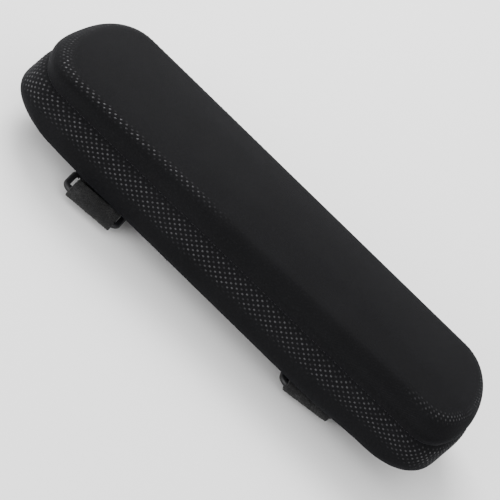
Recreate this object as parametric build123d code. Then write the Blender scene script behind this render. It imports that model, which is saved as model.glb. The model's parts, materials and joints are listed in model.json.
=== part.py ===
from build123d import *
import os
from math import cos, hypot, radians, sin

# A memory-foam armrest pad with a zipped mesh cover and two hook-and-loop straps. Millimetres.
# +X points to the front of the armrest, +Z up, and z = 0 is the flat underside of the pad.

# ---- the pad ----
PAD_LENGTH = 260.0
PAD_WIDTH = 87.0
PAD_HEIGHT = 37.0
CORNER_RADIUS = 29.0
SMALLEST_CORNER = 7.0
COVER_THICKNESS = 1.2
CORE_GAP = 0.1
SEAM_HEIGHT = 25.0
SEAM_INSET = 3.8
# The side's outline as (height, inset at the sides, inset at the two ends).
LOWER_SIDE = [
    (0.0, 6.0, 16.0),
    (1.6, 3.6, 10.5),
    (5.0, 1.2, 4.6),
    (10.7, 0.0, 0.0),
    (17.5, 0.2, 0.2),
    (21.5, 1.0, 1.0),
    (23.7, 2.2, 2.2),
    (SEAM_HEIGHT, SEAM_INSET, SEAM_INSET),
]
UPPER_SIDE = [
    (SEAM_HEIGHT, SEAM_INSET, SEAM_INSET),
    (27.0, 3.4, 3.4),
    (30.0, 3.9, 3.9),
    (32.6, 5.6, 5.6),
    (34.7, 8.8, 8.8),
    (36.1, 13.5, 13.5),
    (PAD_HEIGHT, 22.0, 22.0),
]
SEAM_THREAD = 0.6
SEAM_THREAD_INSET = 3.1
BOTTOM_SEAM_GROOVE = 0.9
# Each strap presses a shallow channel across the underside, between these places along the pad.
STRAP_CHANNELS = [(-88.0, -46.0), (36.0, 82.0)]
CHANNEL_DEPTH = 0.3

# ---- the zip, in the far side of the cover at the height where the side bulges most ----
ZIP_HEIGHT = 10.7
ZIP_LENGTH = 170.0
ZIP_OPENING = 6.6
ZIP_CLEARANCE = 0.05
ZIP_TAPE_OVERRUN = 2.5
ZIP_SLOT_OVERRUN = 3.0
ZIP_TAPE_THICKNESS = 0.6
ZIP_COIL_HEIGHT = 1.6
ZIP_COIL_WIDTH = 1.85
ZIP_MIDDLE_GAP = 0.1
ZIP_STOP_LENGTH = 1.8
ZIP_STOP_GAP = 0.1
SLIDER_LENGTH = 9.0
SLIDER_WIDTH = 7.6
SLIDER_PLATE = 0.9
SLIDER_GAP = 0.1
SLIDER_CORNER = 1.8
SLIDER_END_GAP = 1.0
PULL_PIN_RADIUS = 0.8
PULL_PIN_FIT = 0.05
PULL_EYE_RADIUS = 1.6
PULL_LENGTH = 22.0
PULL_WIDTH = 7.0
PULL_NECK_WIDTH = 4.0
PULL_NECK_REACH = 2.6
PULL_HOLE_RADIUS = 1.5
PULL_HOLE_FROM_TIP = 4.5
PULL_THICKNESS = 1.2
LUG_THICKNESS = 1.0

# ---- the straps ----
WEB_WIDTH = 24.0
WEB_THICKNESS = 1.2
TAB_THICKNESS = 1.0
TAB_WIDTH = 22.0
TAB_LENGTH = 17.0
TAB_LOOP_END = 1.2
TAB_CLOSED_FROM = 7.0
TAB_BEND = 3.0
HOOK_THICKNESS = 0.8
HOOK_WIDTH = 22.0
HOOK_START = 28.0
HOOK_MARGIN = 2.0
RING_WIDTH = 32.0
RING_DEPTH = 17.0
RING_BAR = 2.8
RING_CORNER = 5.0
RING_INNER_CORNER = 0.5
RING_EDGE = 1.3
RING_FIT = 0.06
RING_SIDE_SHIFT = -0.6
SOFT_GAP = 0.1
FOLD_GAP = 0.06
LAYER_GAP = 0.05
ROOT_Y = 34.0
# Each strap's ring pivot as (x, y) and the yaw of the strap in degrees.
STRAPS = {
    "rear": (-64.7, -31.8, 7.0),
    "front": (62.7, -21.6, 12.5),
}

# Heights under the pad: the strap goes over the ring's outer bar and comes back below.
RING_Z = -(FOLD_GAP + WEB_THICKNESS + RING_FIT + RING_BAR / 2)
RING_REACH = RING_DEPTH - RING_BAR
WEB_TOP_Z = -(SOFT_GAP + WEB_THICKNESS / 2)
WEB_LOW_Z = -3.55
WEB_START = 6.0
# From and to: how far along the strap a layer steps down, past the end of the ring's tab.
WEB_STEP = (17.5, 24.5)
TAIL_STEP = (17.5, 25.5)
WEB_BEND = 6.0
TAIL_PIVOT_Y = 7.0
TAIL_LOW_Z = WEB_LOW_Z - WEB_THICKNESS - SOFT_GAP
TAIL_HIGH_Z = -2.8
TAIL_CLEAR_OF_ROOT = 15.0
# The fold's two ends, short of the web and the tail so that the ring can swing.
FOLD_END_Y = -3.5
FOLD_UPPER_END_Z = -5.0
FOLD_LOWER_END_Z = -6.6
FOLD_LEVEL_FROM = -7.0
FOLD_BEND = 3.0

STITCH_LENGTH = 2.6
STITCH_PITCH = 3.8
STITCH_WIDTH = 0.6
STITCH_HEIGHT = 0.4
STITCH_MARGIN = 2.5
TAB_STITCHING = (9.0, 15.5)
ROOT_STITCHING = (12.0, 2.0)
CROSS_INNER = 0.15
CROSS_OUTER = 0.85

os.makedirs("parts", exist_ok=True)


def write(name, *solids):
    """One node, as a file of one or more separate solids."""
    shape = solids[0] if len(solids) == 1 else Compound(children=list(solids))
    export_step(shape, f"parts/{name}.step")


# ---------------------------------------------------------------- the pad


def outline(height, side_inset, end_inset):
    """The pad's rounded plan at one height."""
    radius = max(CORNER_RADIUS - side_inset, SMALLEST_CORNER)
    plan = RectangleRounded(PAD_LENGTH - 2 * end_inset, PAD_WIDTH - 2 * side_inset, radius)
    return Plane.XY.offset(height) * plan


def lobe(side, skin):
    """One lobe of the pad's side, drawn in all round by the thickness of a skin."""
    flatten = (PAD_HEIGHT - 2 * skin) / PAD_HEIGHT
    return loft([outline(skin + z * flatten, a + skin, b + skin) for z, a, b in side])


def pad_body(skin):
    """Both lobes of the pad in one solid, which meet at the seam's groove."""
    return lobe(LOWER_SIDE, skin) + lobe(UPPER_SIDE, skin)


def bottom_plate(shrink, thickness):
    """A flat plate in the plan of the pad's underside."""
    _, side_inset, end_inset = LOWER_SIDE[0]
    return extrude(outline(0, side_inset + shrink, end_inset + shrink), thickness)


def seam_loop(height, side_inset, end_inset):
    """A seam's thread laid all round the pad."""
    path = outline(height, side_inset, end_inset).wire()
    start = Plane(path @ 0, z_dir=path % 0)
    return sweep(start * Circle(SEAM_THREAD / 2), path=path)


def zip_opening():
    """The straight slot in the cover's far side that the zip closes."""
    length = ZIP_LENGTH + 2 * ZIP_SLOT_OVERRUN
    depth = 5 * COVER_THICKNESS
    return Pos(0, PAD_WIDTH / 2, ZIP_HEIGHT) * Box(length, depth, ZIP_OPENING + 2 * ZIP_CLEARANCE)


def build_pad():
    """The foam core, the three panels of its cover and the threads of the two seams."""
    core = pad_body(COVER_THICKNESS + CORE_GAP)
    hollow = pad_body(COVER_THICKNESS)
    write("foam_core", core)
    write("cover_top_panel", lobe(UPPER_SIDE, 0) - hollow)
    floor_cut = bottom_plate(0, COVER_THICKNESS)
    write("cover_side_band", lobe(LOWER_SIDE, 0) - hollow - floor_cut - zip_opening())
    panel = bottom_plate(BOTTOM_SEAM_GROOVE, COVER_THICKNESS)
    for low_x, high_x in STRAP_CHANNELS:
        panel -= Pos((low_x + high_x) / 2, 0, 0) * Box(high_x - low_x, PAD_WIDTH, 2 * CHANNEL_DEPTH)
    write("cover_bottom_panel", panel)
    write("top_seam_thread", seam_loop(SEAM_HEIGHT, SEAM_THREAD_INSET, SEAM_THREAD_INSET))
    _, side_inset, end_inset = LOWER_SIDE[0]
    groove = BOTTOM_SEAM_GROOVE / 2
    thread = seam_loop(SEAM_THREAD / 2 + SOFT_GAP, side_inset + groove, end_inset + groove)
    write("bottom_seam_thread", thread)


# ---------------------------------------------------------------- the zip

TAPE_Y = PAD_WIDTH / 2 - COVER_THICKNESS
COIL_Y = TAPE_Y + ZIP_TAPE_THICKNESS
PLATE_Y = COIL_Y + ZIP_COIL_HEIGHT + SLIDER_GAP
PIN_Y = PLATE_Y + SLIDER_PLATE + PULL_EYE_RADIUS + SLIDER_GAP
SLIDER_X = ZIP_LENGTH / 2 - SLIDER_LENGTH / 2 - SLIDER_END_GAP


def zip_half(side):
    """A tape and its row of teeth on one side of the zip: side is +1 above, -1 below."""
    width = ZIP_OPENING / 2 - ZIP_MIDDLE_GAP
    middle = ZIP_HEIGHT + side * (ZIP_MIDDLE_GAP + width / 2)
    tape_y = TAPE_Y + ZIP_TAPE_THICKNESS / 2
    tape_length = ZIP_LENGTH + 2 * ZIP_TAPE_OVERRUN
    tape = Pos(0, tape_y, middle) * Box(tape_length, ZIP_TAPE_THICKNESS, width)
    coil_z = ZIP_HEIGHT + side * (ZIP_MIDDLE_GAP / 2 + ZIP_COIL_WIDTH / 2)
    coil_y = COIL_Y + ZIP_COIL_HEIGHT / 2
    coil = Pos(0, coil_y, coil_z) * Box(ZIP_LENGTH, ZIP_COIL_HEIGHT, ZIP_COIL_WIDTH)
    outer_edges = coil.edges().filter_by(Axis.X).group_by(Axis.Y)[-1]
    return tape, fillet(outer_edges, ZIP_COIL_WIDTH * 0.35)


def zip_stop(end):
    """The metal clip across both tapes at one end of the teeth."""
    x = end * (ZIP_LENGTH / 2 + ZIP_STOP_LENGTH / 2 + ZIP_STOP_GAP)
    y = COIL_Y + ZIP_COIL_HEIGHT / 2
    clip = Box(ZIP_STOP_LENGTH, ZIP_COIL_HEIGHT, 2 * ZIP_COIL_WIDTH)
    return Pos(x, y, ZIP_HEIGHT) * fillet(clip.edges().filter_by(Axis.Y), ZIP_STOP_LENGTH / 4)


def zip_slider():
    """A saddle over the teeth: a plate, a rail down each side, and two lugs with the pull's pin."""
    plate_y = PLATE_Y + SLIDER_PLATE / 2
    plate = Pos(SLIDER_X, plate_y, ZIP_HEIGHT) * Box(SLIDER_LENGTH, SLIDER_PLATE, SLIDER_WIDTH)
    body = fillet(plate.edges().filter_by(Axis.Y), SLIDER_CORNER)
    rail_foot = COIL_Y + SLIDER_GAP
    rail_height = PLATE_Y - rail_foot
    rail_inner = ZIP_COIL_WIDTH + ZIP_MIDDLE_GAP / 2 + SLIDER_GAP
    rail_width = ZIP_OPENING / 2 - SLIDER_GAP - rail_inner
    lug_z = PULL_NECK_WIDTH / 2 + SLIDER_GAP + LUG_THICKNESS / 2
    lug_height = PIN_Y - PLATE_Y - SLIDER_PLATE
    rail_length = SLIDER_LENGTH - 2 * SLIDER_CORNER - 2 * SLIDER_GAP
    for side in (1, -1):
        rail_z = ZIP_HEIGHT + side * (rail_inner + rail_width / 2)
        rail_at = (SLIDER_X, rail_foot + rail_height / 2, rail_z)
        body += Pos(*rail_at) * Box(rail_length, rail_height, rail_width)
        lug_at = (SLIDER_X, PIN_Y - lug_height / 2, ZIP_HEIGHT + side * lug_z)
        body += Pos(*lug_at) * Box(2 * PULL_EYE_RADIUS, lug_height, LUG_THICKNESS)
        ear_at = (SLIDER_X, PIN_Y, ZIP_HEIGHT + side * lug_z)
        body += Pos(*ear_at) * Cylinder(PULL_EYE_RADIUS, LUG_THICKNESS)
    pin_length = 2 * (lug_z + LUG_THICKNESS / 2)
    return body + Pos(SLIDER_X, PIN_Y, ZIP_HEIGHT) * Cylinder(PULL_PIN_RADIUS, pin_length)


def zip_pull():
    """The pull tab, with an eye round the slider's pin and a finger hole near its end."""
    neck_length = PULL_EYE_RADIUS + PULL_NECK_REACH
    blade_length = PULL_LENGTH - neck_length
    eye = Cylinder(PULL_EYE_RADIUS, PULL_NECK_WIDTH)
    neck = Pos(-neck_length / 2, 0, 0) * Box(neck_length, PULL_THICKNESS, PULL_NECK_WIDTH)
    blade_x = -neck_length - blade_length / 2
    blade = Pos(blade_x, 0, 0) * Box(blade_length, PULL_THICKNESS, PULL_WIDTH)
    blade = fillet(blade.edges().filter_by(Axis.Y), PULL_WIDTH * 0.3)
    hole_at = Pos(PULL_HOLE_FROM_TIP - PULL_LENGTH, 0, 0) * Rot(90, 0, 0)
    hole = hole_at * Cylinder(PULL_HOLE_RADIUS, PULL_THICKNESS * 2)
    bore = Cylinder(PULL_PIN_RADIUS + PULL_PIN_FIT, PULL_NECK_WIDTH * 2)
    return Pos(SLIDER_X, PIN_Y, ZIP_HEIGHT) * (eye + neck + blade - hole - bore)


def build_zip():
    for side, name in ((1, "upper"), (-1, "lower")):
        tape, coil = zip_half(side)
        write(f"zip_tape_{name}", tape)
        write(f"zip_coil_{name}", coil)
    write("zip_stop_front", zip_stop(1))
    write("zip_stop_rear", zip_stop(-1))
    write("zip_slider", zip_slider())
    write("zip_pull", zip_pull())


# ---------------------------------------------------------------- the straps
# A strap is drawn in its own frame: x along the ring's pivot, y towards the strap's sewn root.


def ribbon(points, radii, width, thickness):
    """A flat band whose middle line runs through (y, z) points, rounded at each corner."""
    path = FilletPolyline(*[(0, y, z) for y, z in points], radius=radii)
    start = Plane(path @ 0, x_dir=(1, 0, 0), z_dir=path % 0)
    return sweep(start * Rectangle(width, thickness), path=path)


def ring():
    """A moulded rectangular ring whose inner bar is round, to turn in the tab's loop."""
    inner_length = RING_WIDTH - 2 * RING_BAR
    frame = extrude(RectangleRounded(RING_WIDTH, RING_DEPTH, RING_CORNER), RING_BAR / 2, both=True)
    frame = fillet(frame.edges().filter_by(Plane.XY), RING_EDGE)
    slot = RectangleRounded(inner_length, RING_DEPTH - 2 * RING_BAR, RING_INNER_CORNER)
    frame -= extrude(slot, RING_BAR, both=True)
    middle_y = -RING_REACH / 2
    gap = Pos(0, RING_DEPTH / 2, 0) * Box(inner_length - 2, 2 * RING_BAR + 2, 2 * RING_BAR)
    bar = Pos(0, RING_REACH / 2, 0) * Rot(0, 90, 0) * Cylinder(RING_BAR / 2, inner_length)
    return Pos(RING_SIDE_SHIFT, middle_y, RING_Z) * (frame - gap + bar)


def ring_tab():
    """The short loop of webbing that is sewn to the pad and holds the ring's inner bar."""
    turn = RING_BAR / 2 + RING_FIT + TAB_THICKNESS / 2
    top = RING_Z + turn
    bottom = RING_Z - turn
    folded = top - TAB_THICKNESS - LAYER_GAP
    points = [
        (TAB_LENGTH, top),
        (-turn, top),
        (-turn, bottom),
        (TAB_LOOP_END, bottom),
        (TAB_CLOSED_FROM, folded),
        (TAB_LENGTH, folded),
    ]
    # The second turn is a hair smaller, so that a short straight run is left between the two.
    return ribbon(points, [turn, turn * 0.999, TAB_BEND, TAB_BEND], TAB_WIDTH, TAB_THICKNESS)


def strap_web(root):
    """The strap from its sewn root, flat under the pad and down past the ring's tab."""
    step_start, step_end = WEB_STEP
    points = [(WEB_START, WEB_LOW_Z), (step_start, WEB_LOW_Z), (step_end, WEB_TOP_Z), (root, WEB_TOP_Z)]
    return ribbon(points, [WEB_BEND, WEB_BEND], WEB_WIDTH, WEB_THICKNESS)


def strap_fold():
    """The strap up through the ring, round the outer bar and back under itself."""
    turn = RING_BAR / 2 + RING_FIT + WEB_THICKNESS / 2
    outer = -RING_REACH - turn - LAYER_GAP
    top = RING_Z + turn
    bottom = RING_Z - turn
    points = [
        (FOLD_END_Y, FOLD_UPPER_END_Z),
        (FOLD_LEVEL_FROM, top),
        (outer, top),
        (outer, bottom),
        (FOLD_END_Y, FOLD_LOWER_END_Z),
    ]
    return ribbon(points, [FOLD_BEND, turn, turn], WEB_WIDTH, WEB_THICKNESS)


def strap_tail(end):
    """The free end of the strap, folded back and pressed up against the web."""
    step_start, step_end = TAIL_STEP
    points = [
        (TAIL_PIVOT_Y, TAIL_LOW_Z),
        (step_start, TAIL_LOW_Z),
        (step_end, TAIL_HIGH_Z),
        (end, TAIL_HIGH_Z),
    ]
    band = ribbon(points, [WEB_BEND, WEB_BEND], WEB_WIDTH, WEB_THICKNESS)
    bead = Rot(0, 90, 0) * Cylinder(WEB_THICKNESS / 2, WEB_WIDTH)
    return band + Pos(0, TAIL_PIVOT_Y, TAIL_LOW_Z) * bead


def hook_patch(end):
    """The hook half of the fastener, on the tail's upper face."""
    length = end - HOOK_MARGIN - HOOK_START
    z = TAIL_HIGH_Z + WEB_THICKNESS / 2 + HOOK_THICKNESS / 2
    return Pos(0, HOOK_START + length / 2, z) * Box(HOOK_WIDTH, length, HOOK_THICKNESS)


def stitch_line(start, end, z):
    """Separate stitches along a straight row between two (x, y) points."""
    run = hypot(end[0] - start[0], end[1] - start[1])
    count = int(run / STITCH_PITCH)
    across = (end[0] - start[0]) / run
    along = (end[1] - start[1]) / run
    turn = Vector(1, 0, 0).get_signed_angle(Vector(across, along, 0), Vector(0, 0, 1))
    stitch = Box(STITCH_LENGTH, STITCH_WIDTH, STITCH_HEIGHT)
    rows = []
    for i in range(count):
        reach = (i + 0.5) * run / count
        at = Pos(start[0] + across * reach, start[1] + along * reach, z)
        rows.append(at * Rot(0, 0, turn) * stitch)
    return rows


def box_stitch(low_y, high_y, surface_z):
    """A sewn box with a cross in it, lying on the lower face of a band."""
    half = WEB_WIDTH / 2 - STITCH_MARGIN
    z = surface_z - STITCH_HEIGHT / 2
    corners = [(-half, low_y), (half, low_y), (half, high_y), (-half, high_y)]
    rows = []
    for i, corner in enumerate(corners):
        rows += stitch_line(corner, corners[(i + 1) % len(corners)], z)
    middle = (low_y + high_y) / 2
    for x, y in corners:
        inner = (CROSS_INNER * x, middle + CROSS_INNER * (y - middle))
        outer = (CROSS_OUTER * x, middle + CROSS_OUTER * (y - middle))
        rows += stitch_line(inner, outer, z)
    return rows


def build_strap(name, pivot_x, pivot_y, yaw):
    """One strap with its ring and tab, turned by its yaw about the ring's pivot."""
    place = Pos(pivot_x, pivot_y, 0) * Rot(0, 0, yaw)
    root = (ROOT_Y - pivot_y) / cos(radians(yaw))
    end = root - TAIL_CLEAR_OF_ROOT
    write(f"{name}_ring", place * ring())
    write(f"{name}_ring_tab", place * ring_tab())
    write(f"{name}_strap_web", place * strap_web(root))
    write(f"{name}_strap_fold", place * strap_fold())
    write(f"{name}_strap_tail", place * strap_tail(end))
    write(f"{name}_hook_patch", place * hook_patch(end))
    tab_under = RING_Z + RING_BAR / 2 + RING_FIT - TAB_THICKNESS - LAYER_GAP
    tab_rows = box_stitch(*TAB_STITCHING, tab_under)
    write(f"{name}_tab_stitching", *[place * stitch for stitch in tab_rows])
    web_under = WEB_TOP_Z - WEB_THICKNESS / 2
    root_rows = box_stitch(*[root - inset for inset in ROOT_STITCHING], web_under)
    write(f"{name}_root_stitching", *[place * stitch for stitch in root_rows])


build_pad()
build_zip()
for strap, (x, y, yaw) in STRAPS.items():
    build_strap(strap, x, y, yaw)
    pivot = (round(x, 2), round(y, 2), round(RING_Z, 2))
    tail = (x - sin(radians(yaw)) * TAIL_PIVOT_Y, y + cos(radians(yaw)) * TAIL_PIVOT_Y, TAIL_LOW_Z)
    print(strap, "ring pivot", pivot, "tail pivot", [round(v, 2) for v in tail])
print("slider", SLIDER_X, "pull pin y", round(PIN_Y, 2), "z", ZIP_HEIGHT)
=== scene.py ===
"""The looks of a chair armrest pad: its mesh fabric cover, straps, rings and zip. Metres, +Z up."""
import json
import math

import bpy
import numpy as np
from mathutils import Matrix, Vector


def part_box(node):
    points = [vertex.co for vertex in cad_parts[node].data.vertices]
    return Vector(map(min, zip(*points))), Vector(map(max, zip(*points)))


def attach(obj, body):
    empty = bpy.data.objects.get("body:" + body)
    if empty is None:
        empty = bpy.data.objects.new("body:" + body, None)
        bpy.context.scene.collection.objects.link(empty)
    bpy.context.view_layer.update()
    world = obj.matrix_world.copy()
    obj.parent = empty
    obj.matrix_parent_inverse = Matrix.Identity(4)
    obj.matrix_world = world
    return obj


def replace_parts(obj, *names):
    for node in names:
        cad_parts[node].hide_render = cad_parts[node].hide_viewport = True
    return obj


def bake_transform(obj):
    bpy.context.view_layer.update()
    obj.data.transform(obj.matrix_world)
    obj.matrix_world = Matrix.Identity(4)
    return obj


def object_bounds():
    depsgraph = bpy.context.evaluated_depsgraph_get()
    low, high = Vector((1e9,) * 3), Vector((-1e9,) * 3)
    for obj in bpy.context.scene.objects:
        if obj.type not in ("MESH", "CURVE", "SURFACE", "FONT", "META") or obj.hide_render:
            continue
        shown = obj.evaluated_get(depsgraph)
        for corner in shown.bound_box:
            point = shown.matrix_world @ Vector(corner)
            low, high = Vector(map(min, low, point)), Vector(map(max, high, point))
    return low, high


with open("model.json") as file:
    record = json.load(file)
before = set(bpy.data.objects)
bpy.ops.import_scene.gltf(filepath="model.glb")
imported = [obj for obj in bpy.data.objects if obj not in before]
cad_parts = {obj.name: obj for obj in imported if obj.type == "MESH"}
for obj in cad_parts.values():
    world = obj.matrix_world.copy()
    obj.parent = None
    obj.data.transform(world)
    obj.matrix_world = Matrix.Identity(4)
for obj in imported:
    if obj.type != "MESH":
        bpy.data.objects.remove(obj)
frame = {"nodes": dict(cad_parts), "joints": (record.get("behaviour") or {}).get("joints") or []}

MM = 0.001
CAD_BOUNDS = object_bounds()
JOINTS = {joint["name"]: joint for joint in frame["joints"]}
RANDOM_SEED = 7

# ---- the pad ----
BAND_LOW, BAND_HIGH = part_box("cover_side_band")
HALF_LENGTH = round(BAND_HIGH.x, 3)
HALF_WIDTH = (BAND_HIGH.y - BAND_LOW.y) / 2
TOP_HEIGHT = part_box("cover_top_panel")[1].z
# The plan's ends are half superellipses that start this far from the tips.
END_REACH = 23.5 * MM
END_POWER = 2.22
# Where the end's curve is parted from the long side's, as the superellipse's angle.
CORNER_ANGLE = math.radians(50)
# Points on each stretch of the plan, and at each corner of a profile, before they are spaced out.
PLAN_POINTS = 241
PROFILE_POINTS = 40
LID_RELAX_STEPS = 1500
COVER_THICKNESS = 1.2 * MM
# How far the underside's panel stands off the armrest, and the foam inside the cover.
BASE_HEIGHT = 0.05 * MM
FOAM_GAP = 0.6 * MM
# The side's outline in millimetres, as (height, inset at the sides, inset at the ends).
SIDE_PROFILE = [
    (0.0, 5.6, 15.6),
    (1.4, 3.4, 10.6),
    (5.0, 1.1, 4.4),
    (10.7, 0.0, 0.0),
    (17.0, 0.2, 0.2),
    (21.5, 1.0, 1.1),
    (23.8, 2.1, 2.5),
    (25.0, 3.1, 3.9),
]
CROWN_PROFILE = [
    (25.0, 3.1, 3.9),
    (26.3, 3.0, 3.4),
    (28.6, 3.2, 3.1),
    (31.4, 4.1, 3.9),
    (33.4, 5.8, 5.5),
    (34.6, 7.8, 7.4),
    (35.2, 9.6, 9.2),
    (35.5, 11.5, 11.0),
]
# The near side's crest leans in over the pad, by more towards the front.
CREST_LEAN = 2.2 * MM
CREST_DRIFT = 4.0 * MM
CREST_DRIFT_REACH = 105 * MM
# The lean grows from the middle towards the near side, and from below the crest up to it.
LEAN_ACROSS = (0, 22 * MM)
LEAN_HEIGHTS = (27 * MM, 33 * MM)
# Where the stuffed cover swells or sinks, in millimetres, as (middle, reach, move).
SWELLS = [
    ((97, -42, 5), (20, 16, 14), (0, 3.5, 0)),
    ((126, -17, 11), (12, 15, 12), (-2.4, 0.2, 0)),
    ((-124, -30, 9), (14, 16, 12), (-1.3, -1.8, 0)),
    ((-129, -6, 18), (12, 14, 9), (2.0, 0, 0)),
    ((-104, -44, 4), (18, 12, 10), (0, 2.0, 0)),
    ((-124, -14, 29), (14, 16, 8), (-1.3, -0.5, 0)),
]
# The mesh fabric's lattice: cells along the pad, across it, and up each panel's wall.
CELLS_ALONG = 74
CELLS_ACROSS = 26
CELLS_ROUND = 2 * (CELLS_ALONG + CELLS_ACROSS)
CELLS_UP_SIDE = 10
CELLS_UP_CROWN = 5
DETAIL_SIDE = 6
DETAIL_CROWN = 4
DETAIL_BASE = 2
# How far the knit's relief stands proud where the dots' painted glint is full, and its share
# elsewhere.
KNIT_RELIEF = 0.14 * MM
SIDE_RELIEF_OUTSIDE_GLINT = 0.08
CROWN_RELIEF_OUTSIDE_GLINT = 0.15
# Where the dots carry a painted glint and the knit's relief is fullest, as heights on the side and the
# crown, and places along the pad.
SIDE_GLINT_RISES = (11 * MM, 17 * MM)
SIDE_GLINT_FADES = (22.5 * MM, 25 * MM)
CREST_GLINT_RISES = (33 * MM, 34.4 * MM)
CREST_GLINT_FADES = (35 * MM, 35.5 * MM)
REAR_CREST = (-40 * MM, -10 * MM)
REAR_TIP = (-126 * MM, -108 * MM)
FRONT_CREST = (88 * MM, 104 * MM)

# ---- the zip ----
ZIP_HEIGHT = JOINTS["zip_pull_hinge"]["pos_m"][2]
SLOT_HALF_HEIGHT = 3.35 * MM
SLOT_HALF_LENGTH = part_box("zip_tape_lower")[1].x - 1.2 * MM
LIP_WIDTH = 1.6 * MM
LIP_DEPTH = 0.75 * MM
# The cloth simulation leaves the cover alone this far round the slot, along it and up it.
ZIP_HELD_ALONG = 8 * MM
ZIP_HELD_UP = 3 * MM

# ---- the straps, in the frame of each ring's hinge: x along it, y towards the sewn root ----
STRAPS = ("rear", "front")
WEB_WIDTH = 24 * MM
WEB_THICKNESS = 1.2 * MM
TAB_WIDTH = 22 * MM
TAB_THICKNESS = 1.0 * MM
STRAP_NAP = 0.07 * MM
ROOT_Y = 34 * MM
TAIL_SHORT_OF_ROOT = 15 * MM


# ---------------------------------------------------------------- meshes


def smooth_weights(coarse, fine, closed=False):
    """Weights that draw `fine` points of a smooth curve through `coarse` points."""
    places = np.arange(fine) * coarse / fine if closed else np.linspace(0, coarse - 1, fine)
    weights = np.zeros((fine, coarse))
    last = coarse - 1 if closed else coarse - 2
    for row, place in enumerate(places):
        first = min(int(place), last)
        t = place - first
        spline = (
            (-t + 2 * t**2 - t**3) / 2,
            (2 - 5 * t**2 + 3 * t**3) / 2,
            (t + 4 * t**2 - 3 * t**3) / 2,
            (t**3 - t**2) / 2,
        )
        for index, weight in enumerate(spline, start=first - 1):
            if closed:
                weights[row, index % coarse] += weight
            elif index < 0:
                weights[row, 0] += 2 * weight
                weights[row, 1] -= weight
            elif index >= coarse:
                weights[row, -1] += 2 * weight
                weights[row, -2] -= weight
            else:
                weights[row, index] += weight
    return weights


def grid_faces(indices, closed=False):
    """Four-sided faces between the rows and columns of a grid of point indices."""
    following = np.roll(indices, -1, axis=1)
    if not closed:
        indices, following = indices[:, :-1], following[:, :-1]
    quads = np.stack([indices[:-1], following[:-1], following[1:], indices[1:]], axis=-1)
    return quads.reshape(-1, 4)


def put_in_scene(name, data):
    """An object for a mesh, a light or a camera, linked to the scene."""
    made = bpy.data.objects.new(name, data)
    bpy.context.scene.collection.objects.link(made)
    return made


def mesh_object(name, points, faces):
    mesh = bpy.data.meshes.new(name)
    mesh.from_pydata(np.asarray(points).tolist(), [], [[int(i) for i in face] for face in faces])
    return put_in_scene(name, mesh)


def mesh_piece(name, points, faces, material, body=None):
    """A smooth-shaded mesh, which rides on a body if one is named."""
    piece = mesh_object(name, points, faces)
    piece.data.polygons.foreach_set("use_smooth", [True] * len(piece.data.polygons))
    piece.data.materials.append(material)
    if body:
        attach(piece, body)
    return piece


def corner_points(piece):
    """The index of the point at each corner of each face."""
    return np.array([loop.vertex_index for loop in piece.data.loops])


def set_corner_uv(piece, corner_uv):
    """The lattice map: one (u, v) for each corner of each face, in the weave's own units."""
    layer = piece.data.uv_layers.new(name="lattice")
    layer.data.foreach_set("uv", np.asarray(corner_uv, float).ravel())


def set_point_value(piece, name, values):
    attribute = piece.data.attributes.new(name, "FLOAT", "POINT")
    attribute.data.foreach_set("value", np.asarray(values, np.float32).ravel())


def smooth_step(low, high, value):
    t = np.clip((value - low) / (high - low), 0, 1)
    return t * t * (3 - 2 * t)


def grid_normals(grid, closed):
    """Unit normals of a grid of points whose columns run anticlockwise and rows run upwards."""
    if closed:
        along = np.roll(grid, -1, axis=1) - np.roll(grid, 1, axis=1)
    else:
        along = np.gradient(grid, axis=1)
    normals = np.cross(along, np.gradient(grid, axis=0))
    return normals / np.linalg.norm(normals, axis=-1, keepdims=True)


# ---------------------------------------------------------------- the pad's shape


def plan_columns():
    """Where each column stands round the plan: along the straight, and on the ends' curves."""
    angle = np.linspace(0, math.pi / 2, PLAN_POINTS)
    curve_x = np.cos(angle) ** (2 / END_POWER)
    curve_y = np.sin(angle) ** (2 / END_POWER)
    corner_x = math.cos(CORNER_ANGLE) ** (2 / END_POWER)
    straight = np.linspace(1, -1, PLAN_POINTS)[1:-1]
    level, edge = np.zeros_like(straight), np.ones_like(straight)
    # One lap from the front tip: out to the +Y side, back along it, and home on the -Y side.
    lap_x = np.concatenate([curve_x, level, -curve_x[::-1], -curve_x[1:], level, curve_x[:0:-1]])
    lap_y = np.concatenate([curve_y, edge, curve_y[::-1], -curve_y[1:], -edge, -curve_y[:0:-1]])
    ones = np.ones(PLAN_POINTS)
    lap_s = np.concatenate([ones, straight, -ones, -ones[1:], -straight, ones[1:]])
    place_x = lap_s * (HALF_LENGTH - END_REACH) + lap_x * END_REACH
    place_y = lap_y * HALF_WIDTH
    steps = np.hypot(np.diff(place_x, append=place_x[0]), np.diff(place_y, append=place_y[0]))
    travel = np.concatenate([[0], np.cumsum(steps)])
    corner = np.interp(-corner_x, -curve_x, travel[: len(curve_x)])
    lap, half = travel[-1], travel[-1] / 2
    ends = [-corner, corner, half - corner, half + corner, lap - corner]
    cells = [CELLS_ACROSS, CELLS_ALONG, CELLS_ACROSS, CELLS_ALONG]
    places = [np.linspace(a, b, n, endpoint=False) for a, b, n in zip(ends, ends[1:], cells)]
    # The columns start where the -Y side does, at the rear, and run towards the front.
    places = np.roll(np.concatenate(places), CELLS_ALONG) % lap
    wrap = [np.append(values, values[0]) for values in (lap_s, lap_x, lap_y)]
    return [np.interp(places, travel, values) for values in wrap]


def profile_rows(profile, rows):
    """The profile's outline drawn smooth, as evenly spaced (height, side inset, end inset)."""
    corners = np.array(profile) * MM
    dense = smooth_weights(len(corners), PROFILE_POINTS * len(corners)) @ corners
    travel = np.concatenate([[0], np.cumsum(np.hypot(*np.diff(dense[:, :2], axis=0).T))])
    places = np.linspace(0, travel[-1], rows)
    return np.stack([np.interp(places, travel, dense[:, k]) for k in range(3)], axis=1)


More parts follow.
